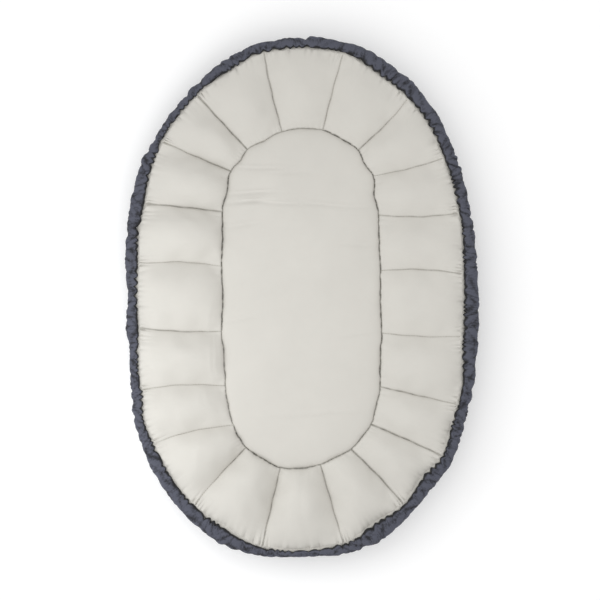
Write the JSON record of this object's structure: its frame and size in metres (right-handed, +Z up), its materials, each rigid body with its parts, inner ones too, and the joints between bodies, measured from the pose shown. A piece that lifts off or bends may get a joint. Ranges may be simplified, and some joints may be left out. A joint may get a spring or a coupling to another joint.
{
  "type": "infant lounger",
  "caption": "Low oval quilted nest with a thin foam mattress, a ring of filled channels and a gathered elastic rim, for a baby to lie in on the floor.",
  "frame": {"origin": "on the floor, under the middle of the nest's width and length", "axes": "+Y along the nest towards the head end, +X to the right as seen from above with the head end up, +Z up"},
  "size_m": [0.6132, 0.901, 0.0689],
  "materials": {
    "cream_cotton": "matte",
    "slate_cotton": "matte",
    "foam": "matte",
    "fibre_fill": "matte",
    "elastic": "matte"
  },
  "bodies": {
    "root": {"base_panel": "slate_cotton", "mattress_core": "foam", "centre_panel": "cream_cotton", "outer_cover": "slate_cotton", "channel_fill_01": "fibre_fill", "channel_fill_02": "fibre_fill", "channel_fill_03": "fibre_fill", "channel_fill_04": "fibre_fill", "channel_fill_05": "fibre_fill", "channel_fill_06": "fibre_fill", "channel_fill_07": "fibre_fill", "channel_fill_08": "fibre_fill", "channel_fill_09": "fibre_fill", "channel_fill_10": "fibre_fill", "channel_fill_11": "fibre_fill", "channel_fill_12": "fibre_fill", "channel_fill_13": "fibre_fill", "channel_fill_14": "fibre_fill", "channel_fill_15": "fibre_fill", "channel_fill_16": "fibre_fill", "channel_fill_17": "fibre_fill", "channel_fill_18": "fibre_fill", "channel_fill_19": "fibre_fill", "channel_fill_20": "fibre_fill", "channel_liner": "cream_cotton", "rim_casing": "slate_cotton", "rim_elastic": "elastic"}
  },
  "joints": []
}
